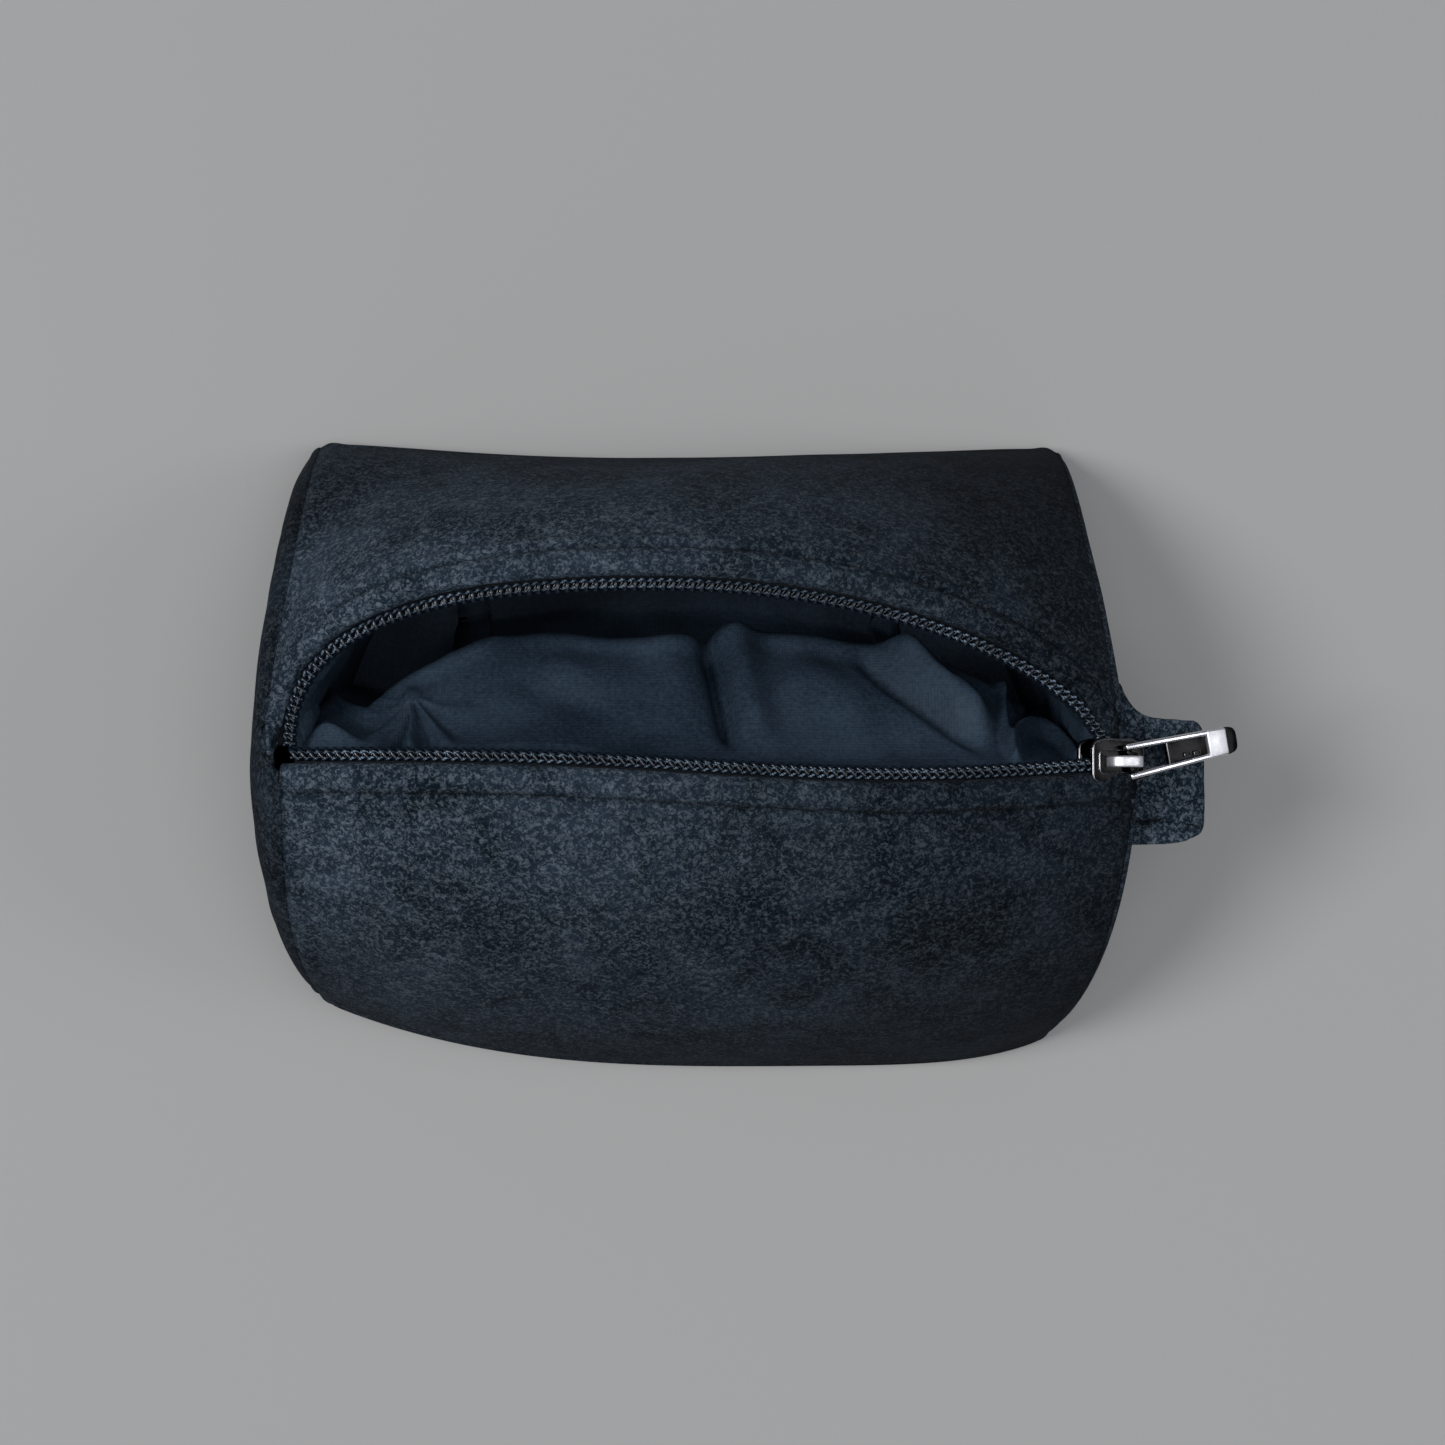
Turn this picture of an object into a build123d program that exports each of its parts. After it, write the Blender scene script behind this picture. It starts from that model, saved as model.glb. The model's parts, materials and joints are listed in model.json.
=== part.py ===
from build123d import *
import os
from math import acos, asin, cos, degrees, hypot, pi, radians, sin

# Zip makeup bag, standing open on its flat base.
# X runs along the zipper, with the slider at +X. Y runs from the front to the back. Z is up.
# The origin is the middle of the base, on the surface that the bag stands on. All sizes in mm.

# --- body ---
PANEL_HALF_LENGTH = 72.0    # from the middle to the end seams of the front and back panels
FRONT_DEPTH = 59.0          # from the middle to the front edge of the base
BACK_DEPTH = 57.0           # from the middle to the back edge of the base
FRONT_DEEPEST_X = 20.0      # where the front edge of the base stands furthest forward
FRONT_LEFT_ROUND = 18.0     # how far the soft front corners are drawn in
FRONT_RIGHT_ROUND = 5.5
BACK_EDGE_BOW = 2.3         # how far the crisp back corners stand behind the middle of the back edge
WALL_POWER = 1.6            # superellipse power of the walls: 1 is a flat tent, 2 a round vault
END_BULGE = 6.1             # how far the end panels bulge past the end seams

# --- cloth ---
OUTER_CLOTH = 1.0
INTERLINING = 1.4
LINING_CLOTH = 0.4
LAYER_GAP = 0.1

# --- zipper ---
ARCH_RADIUS = 206.0         # the zipper line is an arc about an axis along Y
COIL_CROWN = 69.0           # height of the middle of the coils at the top of the arch
ZIP_Y = -1.5                # the centre line that the slider runs on
COIL_HALF_WIDTH = 1.6
COIL_HALF_HEIGHT = 1.1
COIL_SPACING = 1.7          # from the centre line to the middle of each coil when joined
TAPE_THICK = 0.6
TAPE_REACH = 4.8            # from the middle of a coil to the tape's hidden edge
MOUTH_EDGE = 4.7            # from the centre line to the folded edge of the front panel
INNER_SETBACK = 3.8         # interlining and lining stop this far behind the folded edge
MOUTH_OPEN = 27.7           # how far the middle of the back row stands open
MOUTH_PEAK_X = -9.0         # where it stands open furthest
MOUTH_LEFT = 62.5           # from that point to the left end of the mouth
MOUTH_RIGHT = 78.0          # from that point to the right end of the mouth

# --- slider and pull, in their own frame: X to the exit end, origin in the middle of the coils ---
SLIDER_X = 70.0
SLIDER_CLOSED_X = -64.0
SLIDER_LENGTH = 10.5
SLIDER_MOUTH_WIDTH = 8.2
SLIDER_EXIT_WIDTH = 7.8
PLATE = 1.1
CLEARANCE = 0.3
FLANGE = 0.5
BRIDGE_LENGTH = 6.4
BRIDGE_WIDTH = 2.0
BRIDGE_HEIGHT = 3.1
BRIDGE_BAR = 0.9
PULL_LENGTH = 22.4
PULL_ROOT_WIDTH = 6.0
PULL_TIP_WIDTH = 4.4
PULL_THICK = 1.4
PULL_ARM = 0.9
PULL_WINDOW = 8.4
PULL_YAW = 11.0
PIN_RADIUS = 0.6
PIN_X = 1.5

# --- side tab and topstitching ---
TAB_WIDTH = 24.0
TAB_Y = -4.3
TAB_END_X = 88.0
TAB_Z = 50.0
TAB_CLOTH = 1.3
TAB_GAP = 1.0
TAB_DROOP = 8.0
STITCH_PITCH = 3.2
STITCH_LENGTH = 2.4
STITCH_WIDTH = 0.5
STITCH_HEIGHT = 0.3
STITCH_SETBACK = 5.0

ARCH_CENTRE_Z = COIL_CROWN - ARCH_RADIUS
TAPE_TOP = -COIL_HALF_HEIGHT
CLOTH_ABOVE_COIL = COIL_HALF_HEIGHT + 0.4
BASE_TOP = OUTER_CLOTH + LAYER_GAP
STATIONS = 8
CURVE_POINTS = 8
DOME_STEPS = 6


def arch_z(x, above_coil=0.0):
    """Height of the zipper arch at x, this far above the middle of the coils."""
    radius = ARCH_RADIUS + above_coil
    return ARCH_CENTRE_Z + (radius ** 2 - x ** 2) ** 0.5


def mouth_shape(x, left=MOUTH_LEFT, right=MOUTH_RIGHT):
    """How open the mouth is at x, from 0 at its ends to 1 at its peak."""
    from_peak = x - MOUTH_PEAK_X
    if from_peak < 0:
        u = min(1.0, -from_peak / left)
        return (1 - u ** 2.6) ** (1 / 2.6)
    u = min(1.0, from_peak / right)
    return (1 - u ** 2) ** 0.625


def base_y(x, side):
    """The front (-1) or back (+1) edge of the base at x."""
    if side > 0:
        return BACK_DEPTH + BACK_EDGE_BOW * (x / PANEL_HALF_LENGTH) ** 2
    from_deepest = x - FRONT_DEEPEST_X
    if from_deepest < 0:
        return FRONT_LEFT_ROUND * (-from_deepest / (PANEL_HALF_LENGTH + FRONT_DEEPEST_X)) ** 3 - FRONT_DEPTH
    return FRONT_RIGHT_ROUND * (from_deepest / (PANEL_HALF_LENGTH - FRONT_DEEPEST_X)) ** 4 - FRONT_DEPTH


def mouth_y(x, side):
    """The folded edge of the front (-1) or back (+1) panel at x."""
    if side < 0:
        return ZIP_Y - MOUTH_EDGE
    extra = 3.2
    opening = (MOUTH_OPEN + 0.5) * mouth_shape(x, MOUTH_LEFT + extra, MOUTH_RIGHT)
    return ZIP_Y + COIL_SPACING + 4.5 + opening


def wall_point(x, side, turn, inset=0.0):
    """A point on a wall: turn is 0 at the base and pi/2 at the folded edge of the mouth."""
    power = 2 / WALL_POWER

    def outside(a):
        a = min(max(a, 1e-4), pi / 2 - 1e-4)
        y_base, y_mouth = base_y(x, side), mouth_y(x, side)
        top = arch_z(x, CLOTH_ABOVE_COIL)
        return y_mouth + (y_base - y_mouth) * cos(a) ** power, BASE_TOP + (top - BASE_TOP) * sin(a) ** power

    y, z = outside(turn)
    y0, z0 = outside(turn - 0.01)
    y1, z1 = outside(turn + 0.01)
    size = hypot(y1 - y0, z1 - z0)
    return Vector(x, y - side * inset * (z1 - z0) / size, z + side * inset * (y1 - y0) / size)


def wall_turns(x, side, start_z, setback):
    """The turns of a wall's lowest and highest points."""
    length = abs(base_y(x, side) - mouth_y(x, side))
    height = arch_z(x, CLOTH_ABOVE_COIL) - BASE_TOP
    low = asin((max(start_z - BASE_TOP, 0) / height) ** (WALL_POWER / 2))
    high = acos((setback / length) ** (WALL_POWER / 2))
    return low, high


def stations():
    """Places along X, closer together towards the ends."""
    return [PANEL_HALF_LENGTH * sin(pi / 2 * k / STATIONS) for k in range(-STATIONS, STATIONS + 1)]


def closed_wire(outer, inner):
    """Two smooth lines joined by straight ends."""
    return Wire(
        [
            Edge.make_spline(outer),
            Edge.make_line(outer[-1], inner[-1]),
            Edge.make_spline(inner[::-1]),
            Edge.make_line(inner[0], outer[0]),
        ]
    )


def wall(side, inset, thick, start_z, setback):
    """One layer of the front or back wall, from its base edge up to the mouth."""
    sections = []
    for x in stations():
        low, high = wall_turns(x, side, start_z, setback)
        turns = [low + (high - low) * k / (CURVE_POINTS - 1) for k in range(CURVE_POINTS)]
        outer = [wall_point(x, side, a, inset) for a in turns]
        inner = [wall_point(x, side, a, inset + thick) for a in turns]
        sections.append(closed_wire(outer, inner))
    return Solid.make_loft(sections)


def base(inset, low, thick, half_length):
    """One layer of the base, drawn in by inset at the front and back."""
    xs = [half_length * k / 6 for k in range(-6, 7)]
    front = [Vector(x, base_y(x, -1) + inset, low) for x in xs]
    back = [Vector(x, base_y(x, 1) - inset, low) for x in xs]
    return extrude(Face(closed_wire(front, back)), amount=thick, dir=(0, 0, 1))


def end_outline(end, scale, x):
    """The outline of an end panel, scaled about a point low in its middle."""
    seam_x = end * PANEL_HALF_LENGTH
    middle_y, middle_z = 5.0, 22.0

    def place(p):
        return Vector(x, middle_y + scale * (p.Y - middle_y), middle_z + scale * (p.Z - middle_z))

    turns = [pi / 2 * k / (CURVE_POINTS - 1) for k in range(CURVE_POINTS)]
    front = [place(wall_point(seam_x, -1, a)) for a in turns]
    back = [place(wall_point(seam_x, 1, a)) for a in turns]
    return closed_wire(front, back)


def end_dome(end, scale, bulge):
    """A solid dome on an end seam, as deep as the end panel bulges."""
    seam = PANEL_HALF_LENGTH + LAYER_GAP
    turns = [radians(80) * k / DOME_STEPS for k in range(DOME_STEPS + 1)]
    rings = [end_outline(end, scale * cos(a) ** 0.35, end * (seam + bulge * sin(a))) for a in turns]
    return Solid.make_loft(rings, ruled=True)


def end_panel(end, scale, bulge, inner_scale, inner_bulge):
    """A thin bulging end panel, with room for the slider at its top."""
    shell = end_dome(end, scale, bulge) - end_dome(end, inner_scale, inner_bulge) - slider_way()
    return max(shell.solids(), key=lambda solid: solid.volume)


def about_arch(section, start, stop):
    """Turn a section in the YZ plane along the zipper arch, between two places on X."""
    first, last = (degrees(asin(x / ARCH_RADIUS)) for x in (start, stop))
    axis = Axis((0, 0, ARCH_CENTRE_Z), (0, 1, 0))
    return revolve(section.rotate(axis, first), axis, last - first)


def section_face(outline, y, z):
    """A flat face in the YZ plane from (across, up) points about (y, z)."""
    points = [Vector(0, y + across, z + up) for across, up in outline]
    return Face(Wire.make_polygon(points, close=True))


def coil_outline(grow=0.0):
    """The eight-sided outline that a row of coil fills."""
    w, h, c = COIL_HALF_WIDTH + grow, COIL_HALF_HEIGHT + grow, 0.5
    right = [(w - c, -h), (w, c - h), (w, h - c), (w - c, h)]
    return right + [(-across, -up) for across, up in right]


def tape_outline(grow=0.0):
    """The outline of a tape under its coil: its hidden edge is on the positive side."""
    near, far = -COIL_HALF_WIDTH + 0.3 - grow, TAPE_REACH + grow
    low, high = TAPE_TOP - TAPE_THICK - grow, TAPE_TOP - 0.02 + grow
    return [(near, low), (far, low), (far, high), (near, high)]


def front_row(outline):
    """A piece of the front row of the zipper, straight in plan and arched in height."""
    mirrored = [(-across, up) for across, up in outline]
    face = section_face(mirrored, ZIP_Y - COIL_SPACING, COIL_CROWN)
    return about_arch(face, -PANEL_HALF_LENGTH + 0.5, PANEL_HALF_LENGTH - 0.5)


def back_line():
    """Points along the middle of the open back row, from its left end to inside the slider."""
    y_end = ZIP_Y + COIL_SPACING
    left = []
    for k in range(11):
        a = pi / 2 * k / 11
        x = MOUTH_PEAK_X - MOUTH_LEFT * cos(a) ** (2 / 2.6)
        left.append((x, y_end + MOUTH_OPEN * sin(a) ** (2 / 2.6)))
    right = []
    for k in range(11):
        x = MOUTH_PEAK_X + 7.1 * k
        right.append((x, y_end + MOUTH_OPEN * mouth_shape(x)))
    into_slider = [(66.2, y_end + 5.2), (68.6, y_end + 2.4), (71.0, y_end + 1.1)]
    return [Vector(x, y, arch_z(x)) for x, y in left + right + into_slider]


def back_row(outline):
    """A piece of the back row of the zipper, following its open line."""
    line = back_line()
    sections = []
    for k, p in enumerate(line):
        before, after = line[max(k - 1, 0)], line[min(k + 1, len(line) - 1)]
        along = Vector(after.X - before.X, after.Y - before.Y, 0).normalized()
        across = Vector(-along.Y, along.X, 0)
        points = [p + across * a + Vector(0, 0, u) for a, u in outline]
        sections.append(Wire.make_polygon(points, close=True))
    between_seams = Pos(0, 0, COIL_CROWN) * Box(2 * PANEL_HALF_LENGTH - 0.2, 150, 60)
    return Solid.make_loft(sections) & between_seams


def slider_way():
    """The space that the slider sweeps, with clearance all round."""
    half = SLIDER_MOUTH_WIDTH / 2 + 0.4
    low, high = TAPE_TOP - TAPE_THICK - CLEARANCE - PLATE - 0.4, 12.0
    box = [(-half, low), (half, low), (half, high), (-half, high)]
    reach = SLIDER_LENGTH / 2 + 0.6
    return about_arch(section_face(box, ZIP_Y, COIL_CROWN), SLIDER_CLOSED_X - reach, SLIDER_X + reach)


def onto_arch(shape):
    """Move a shape from the slider's own frame to its place at the open end of the zipper."""
    crown = Location((0, ZIP_Y, COIL_CROWN)) * shape
    axis = Axis((0, 0, ARCH_CENTRE_Z), (0, 1, 0))
    return crown.rotate(axis, degrees(asin(SLIDER_X / ARCH_RADIUS)))


def slider_plate(low, high):
    """A plate of the slider, wide at the mouth end and narrower at the exit."""
    half, mouth, out = SLIDER_LENGTH / 2, SLIDER_MOUTH_WIDTH / 2, SLIDER_EXIT_WIDTH / 2
    corners = [(-half, -mouth), (half, -out), (half, out), (-half, mouth)]
    outline = Plane.XY.offset(low) * Polygon(*corners, align=None)
    plate = extrude(outline, amount=high - low)
    return fillet(plate.edges().filter_by(Axis.Z), 1.3)


def slider_body():
    """Top and bottom plates, side flanges and the divider between the rows."""
    bottom_high = TAPE_TOP - TAPE_THICK - CLEARANCE
    top_low = COIL_HALF_HEIGHT + CLEARANCE
    flange_low = TAPE_TOP + CLEARANCE
    body = slider_plate(bottom_high - PLATE, bottom_high) + slider_plate(top_low, top_low + PLATE)
    inside = COIL_SPACING + COIL_HALF_WIDTH + CLEARANCE
    for side in (-1, 1):
        depth = top_low - flange_low
        flange = Box(SLIDER_LENGTH - 3, FLANGE, depth, align=(Align.CENTER, Align.CENTER, Align.MIN))
        body += Pos(0.3, side * (inside + FLANGE / 2 - 0.05), flange_low) * flange
    divider = Polygon((-4.8, 0.9), (-3.4, 0.3), (0.4, 0.3), (0.4, 1.0), (-3.4, 1.9), align=None)
    body += extrude(Plane.XY.offset(bottom_high) * divider, amount=top_low - bottom_high)
    placed = onto_arch(body)
    return placed - back_row(coil_outline(CLEARANCE)) - back_row(tape_outline(CLEARANCE))


def slider_bridge():
    """The arch on the top plate that holds the pull's pin."""
    top = COIL_HALF_HEIGHT + CLEARANCE + PLATE
    side_view = Plane.XZ.offset(-BRIDGE_WIDTH / 2) * Rectangle(BRIDGE_LENGTH, BRIDGE_HEIGHT)
    outer = extrude(side_view, BRIDGE_WIDTH)
    outer = fillet(outer.edges().filter_by(Axis.Y).group_by(Axis.Z)[-1], 1.4)
    hollow = Box(BRIDGE_LENGTH - 2 * BRIDGE_BAR, 3 * BRIDGE_WIDTH, BRIDGE_HEIGHT - BRIDGE_BAR)
    arch = outer - Pos(0, 0, -BRIDGE_BAR / 2) * hollow
    return onto_arch(Pos(0.6, 0, top + BRIDGE_HEIGHT / 2) * arch)


def pull():
    """The pull: a pin in the bridge, two arms, a window and a solid tapering end."""
    root, tip = PULL_ROOT_WIDTH / 2, PULL_TIP_WIDTH / 2
    outline = Polygon((0, -root), (PULL_LENGTH, -tip), (PULL_LENGTH, tip), (0, root), align=None)
    plate = extrude(Plane.XY.offset(-PULL_THICK / 2) * outline, amount=PULL_THICK)
    plate = fillet(plate.edges().filter_by(Axis.Z).sort_by(Axis.X)[-2:], 1.6)
    window_width = PULL_ROOT_WIDTH - 2 * PULL_ARM
    window = Box(PULL_WINDOW + 2, window_width, 2 * PULL_THICK, align=(Align.MIN, Align.CENTER, Align.CENTER))
    hollow = Box(5.4, 2.2, 0.7, align=(Align.MIN, Align.CENTER, Align.CENTER))
    recess = Pos(PULL_WINDOW + 1.4, 0, PULL_THICK / 2) * hollow
    arms = plate - Pos(-2, 0, 0) * window - recess
    arms = fillet(arms.edges().filter_by(Axis.Y).sort_by(Axis.X)[:4], 0.55)
    pin = Cylinder(PIN_RADIUS, PULL_ROOT_WIDTH - 0.4, rotation=(90, 0, 0))
    whole = Pos(-PULL_THICK / 2, 0, 0) * arms + pin
    pin_z = COIL_HALF_HEIGHT + CLEARANCE + PLATE + CLEARANCE + PULL_THICK / 2 + 0.1
    return onto_arch(Pos(PIN_X, 0, pin_z) * (Rot(0, 0, PULL_YAW) * whole))


def tab_loop():
    """A strip of cloth folded back on itself, standing out of the right end below the slider."""
    outer_r = TAB_CLOTH + TAB_GAP / 2
    inner_r = TAB_GAP / 2
    length = TAB_END_X - 70.0

    def rounded_strip(radius, width):
        block = Box(length, width, 2 * radius, align=(Align.MIN, Align.CENTER, Align.CENTER))
        return block + Pos(length, 0, 0) * Cylinder(radius, width, rotation=(90, 0, 0))

    loop = rounded_strip(outer_r, TAB_WIDTH) - rounded_strip(inner_r, TAB_WIDTH + 2)
    placed = Pos(70.0 - outer_r, TAB_Y, TAB_Z) * (Rot(0, TAB_DROOP, 0) * loop)
    return placed - end_dome(1, 1.004, END_BULGE + 0.1) - Pos(62, TAB_Y, TAB_Z) * Box(30, 60, 40)


def stitch_line(side):
    """Evenly spaced stitch places on a wall's outside, set back from its folded edge."""
    def on_wall(x):
        length = abs(base_y(x, side) - mouth_y(x, side))
        turn = acos((STITCH_SETBACK / length) ** (WALL_POWER / 2))
        return wall_point(x, side, turn, -STITCH_HEIGHT / 2 - 0.1)

    fine = [on_wall(-69 + 138 * k / 1200) for k in range(1201)]
    places, walked = [], STITCH_PITCH / 2
    for before, after in zip(fine, fine[1:]):
        walked += (after - before).length
        if walked >= STITCH_PITCH:
            walked -= STITCH_PITCH
            places.append((before, (after - before).normalized()))
    return places


def topstitch(side):
    """A row of separate stitches along a folded edge of the mouth."""
    stitches = []
    for place, along in stitch_line(side):
        down = wall_point(place.X, side, 1.1) - wall_point(place.X, side, 1.3)
        up = along.cross(down) if side < 0 else down.cross(along)
        if up.Z < 0:
            up = up * -1
        plane = Plane(origin=place, x_dir=along, z_dir=up - along * up.dot(along))
        stitches.append(plane.location * Box(STITCH_LENGTH, STITCH_WIDTH, STITCH_HEIGHT))
    return Compound(children=stitches)


def nodes():
    """Every piece of the bag, by name."""
    inner = OUTER_CLOTH + LAYER_GAP
    deep = inner + INTERLINING + LAYER_GAP
    parts = {}
    for name, side in (("front", -1), ("back", 1)):
        parts[f"{name}_outer_panel"] = wall(side, 0, OUTER_CLOTH, BASE_TOP, 0.01)
        parts[f"{name}_interlining"] = wall(side, inner, INTERLINING, deep + 0.5, INNER_SETBACK)
        parts[f"{name}_lining"] = wall(side, deep, LINING_CLOTH, deep + 1.2, INNER_SETBACK)
        parts[f"{name}_topstitching"] = topstitch(side)
    length = PANEL_HALF_LENGTH
    parts["base_outer_panel"] = base(0, 0, OUTER_CLOTH, length + 0.5)
    parts["base_interlining"] = base(inner + LAYER_GAP, inner, INTERLINING, length - 0.2)
    parts["base_lining"] = base(deep + LAYER_GAP, deep, LINING_CLOTH, length - 0.2)
    for name, end in (("left", -1), ("right", 1)):
        parts[f"{name}_end_panel"] = end_panel(end, 1.0, END_BULGE, 0.978, 0.83 * END_BULGE)
        parts[f"{name}_end_lining"] = end_panel(end, 0.972, 0.78 * END_BULGE, 0.963, 0.71 * END_BULGE)
    parts["front_zipper_tape"] = front_row(tape_outline())
    parts["front_zipper_coil"] = front_row(coil_outline())
    parts["back_zipper_tape"] = back_row(tape_outline())
    parts["back_zipper_coil"] = back_row(coil_outline())
    parts["slider_body"] = slider_body()
    parts["slider_bridge"] = slider_bridge()
    parts["slider_pull"] = pull()
    parts["side_tab_loop"] = tab_loop()
    return parts


os.makedirs("parts", exist_ok=True)
for node, shape in nodes().items():
    export_step(shape, f"parts/{node}.step")
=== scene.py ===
import json
import math

import bpy
import numpy as np
from mathutils import Matrix, Vector


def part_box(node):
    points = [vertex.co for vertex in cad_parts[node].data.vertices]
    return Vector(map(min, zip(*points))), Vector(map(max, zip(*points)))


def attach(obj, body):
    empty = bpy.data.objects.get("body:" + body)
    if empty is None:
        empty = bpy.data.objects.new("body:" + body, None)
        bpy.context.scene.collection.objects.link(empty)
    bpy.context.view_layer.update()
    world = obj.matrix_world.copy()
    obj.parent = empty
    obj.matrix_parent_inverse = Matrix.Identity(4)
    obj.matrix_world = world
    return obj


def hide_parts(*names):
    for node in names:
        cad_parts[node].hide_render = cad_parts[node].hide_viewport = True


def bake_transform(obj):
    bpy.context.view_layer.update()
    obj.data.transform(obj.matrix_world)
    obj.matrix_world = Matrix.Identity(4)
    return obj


# Zip makeup bag in napped black cloth, built around the CAD frame, in metres.
# X runs along the zipper to the slider, Y from the front to the back, Z up.

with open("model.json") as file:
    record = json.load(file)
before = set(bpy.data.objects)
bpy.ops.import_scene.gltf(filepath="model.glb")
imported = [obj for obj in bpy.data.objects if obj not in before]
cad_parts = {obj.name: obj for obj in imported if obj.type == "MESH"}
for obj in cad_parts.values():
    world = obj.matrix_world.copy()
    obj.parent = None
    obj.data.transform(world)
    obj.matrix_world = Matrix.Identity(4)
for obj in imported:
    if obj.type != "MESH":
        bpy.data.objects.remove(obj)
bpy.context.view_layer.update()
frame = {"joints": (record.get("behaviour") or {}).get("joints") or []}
joints = {joint["name"]: joint for joint in frame["joints"]}

MM = 0.001

# --- sizes read from the frame ---
_, coil_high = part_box("front_zipper_coil")
_, back_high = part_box("back_outer_panel")
front_low, front_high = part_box("front_outer_panel")
tab_low, tab_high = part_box("side_tab_loop")
HALF_LENGTH = front_high[0]
FRONT_EDGE = front_low[1]
BACK_EDGE = back_high[1]
COIL_HALF_HEIGHT = 1.1 * MM
CROWN = coil_high[2] - COIL_HALF_HEIGHT
ARCH_Z = joints["slider_travel"]["pos_m"][2]
ZIP_Y = joints["slider_travel"]["pos_m"][1]
ARCH_RADIUS = CROWN - ARCH_Z
PIN = Vector(joints["pull_swing"]["pos_m"])
PIN_X = 1.5 * MM             # the pin's place in the slider's own frame

# --- zipper ---
COIL_SPACING = 1.7 * MM      # from the slider's line to the middle of a closed row
MOUTH_OPEN = 27.7 * MM       # how far the back row stands open at its furthest
MOUTH_PEAK_X = -9 * MM
MOUTH_LEFT = 61.6 * MM       # from the peak to the ends of the mouth
MOUTH_RIGHT = 78 * MM
TURN_PITCH = 1.6 * MM
FRONT_ROW_LEFT = -69.8 * MM
FRONT_ROW_RIGHT = 71.6 * MM
BACK_ROW_TURN_X = 62.0 * MM  # where the back row turns in to the slider
LEFT_END_POWER = 2.6         # superellipse powers of the mouth to the left and right of its peak
RIGHT_END_POWER = 2
RIGHT_END_ROOT = 0.625

# --- cloth ---
WALL_POWER = 1.6             # superellipse power of the walls
BASE_Z = 1.1 * MM
CLOTH_LIFT = 1.5 * MM        # the folded edges stand this far above the middle of the coils
LIP_RADIUS = 1.0 * MM        # the round of a folded edge
LIP_SETBACK = 2.9 * MM       # from the middle of a row to where its panel starts to fold
STITCH_SETBACK = 3.4 * MM    # from there to the stitches
STITCH_PITCH = 3.2 * MM
STITCH_STEP = 0.2 * MM       # between the points along a stitch
STITCH_POINTS = 12
CLOTH_THICKNESS = 0.7 * MM
LINING_THICKNESS = 0.3 * MM


# ---------------------------------------------------------------- small helpers

def smooth(a, b, x):
    t = np.clip((x - a) / (b - a), 0, 1)
    return t * t * (3 - 2 * t)


def hill(x, width):
    return np.exp(-(x / width) ** 2)


def soft_noise(x, y, z, scale, seed):
    """A smooth seeded noise, about -1 to 1, made of a few crossing waves."""
    waves, spread = 14, 1.9
    rng = np.random.default_rng(seed)
    total = np.zeros(np.broadcast(x, y, z).shape)
    for _ in range(waves):
        direction = rng.normal(size=3)
        direction /= np.linalg.norm(direction)
        length = scale * rng.uniform(0.6, 1.6)
        phase = rng.uniform(0, 2 * math.pi)
        distance = x * direction[0] + y * direction[1] + z * direction[2]
        total += np.sin(2 * math.pi * distance / length + phase)
    return total / waves * spread


def directions(line):
    """The unit direction of a line at each of its points."""
    along = np.gradient(line, axis=0)
    return along / np.linalg.norm(along, axis=1)[:, None]


def line_length(line):
    return np.sum(np.linalg.norm(np.diff(line, axis=0), axis=1))


def link(name, mesh):
    obj = bpy.data.objects.new(name, mesh)
    bpy.context.scene.collection.objects.link(obj)
    return obj


def grid_mesh(name, points, flip=False, wrap=False):
    """A quad mesh over points of shape (rows, columns, 3)."""
    rows, columns = points.shape[:2]
    count = columns if wrap else columns - 1
    faces = []
    for r in range(rows - 1):
        for c in range(count):
            d = (c + 1) % columns
            quad = (r * columns + c, r * columns + d, (r + 1) * columns + d, (r + 1) * columns + c)
            faces.append(quad[::-1] if flip else quad)
    mesh = bpy.data.meshes.new(name)
    mesh.from_pydata([tuple(p) for p in points.reshape(-1, 3)], [], faces)
    mesh.update()
    mesh.shade_smooth()
    return link(name, mesh)


def apply_modifiers(obj):
    """Bake the object's modifiers into its mesh."""
    depsgraph = bpy.context.evaluated_depsgraph_get()
    mesh = bpy.data.meshes.new_from_object(obj.evaluated_get(depsgraph))
    mesh.name = obj.name
    obj.modifiers.clear()
    obj.data = mesh
    return obj


def mark_painted_shade(obj, amount):
    """Mark, from 0 to 1 at each vertex, where a cloth gets painted shade, as in a stitched channel, a
    crease or a seam.
    """
    layer = obj.data.attributes.new("painted_shade_line", "FLOAT", "POINT")
    layer.data.foreach_set("value", np.asarray(amount, np.float32).ravel())
    return obj


def thicken(obj, thickness):
    """Give a sheet its real thickness, on its inner side."""
    solid = obj.modifiers.new("thickness", "SOLIDIFY")
    solid.thickness = thickness
    solid.offset = -1
    solid.use_even_offset = False
    return apply_modifiers(obj)


def tube_mesh(name, centres, radius, sides=8):
    """A closed tube along an open line of points; radius may vary along it."""
    centres = np.asarray(centres, float)
    along = directions(centres)
    side = np.cross(along, [0.0, 0.0, 1.0])
    weak = np.linalg.norm(side, axis=1) < 1e-3
    side[weak] = np.cross(along[weak], [0.0, 1.0, 0.0])
    # carry the side direction along the line, so that the tube doesn't twist
    for k in range(1, len(side)):
        s = side[k - 1] - along[k] * (side[k - 1] @ along[k])
        side[k] = s if np.linalg.norm(s) > 1e-9 else side[k]
        side[k] /= np.linalg.norm(side[k])
    side[0] /= np.linalg.norm(side[0])
    up = np.cross(side, along)
    a = np.linspace(0, 2 * math.pi, sides, endpoint=False)
    r = np.broadcast_to(np.asarray(radius, float), (len(centres),))[:, None, None]
    ring = side[:, None, :] * np.cos(a)[None, :, None] + up[:, None, :] * np.sin(a)[None, :, None]
    return capped(grid_mesh(name, centres[:, None, :] + r * ring, wrap=True), sides)


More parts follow.
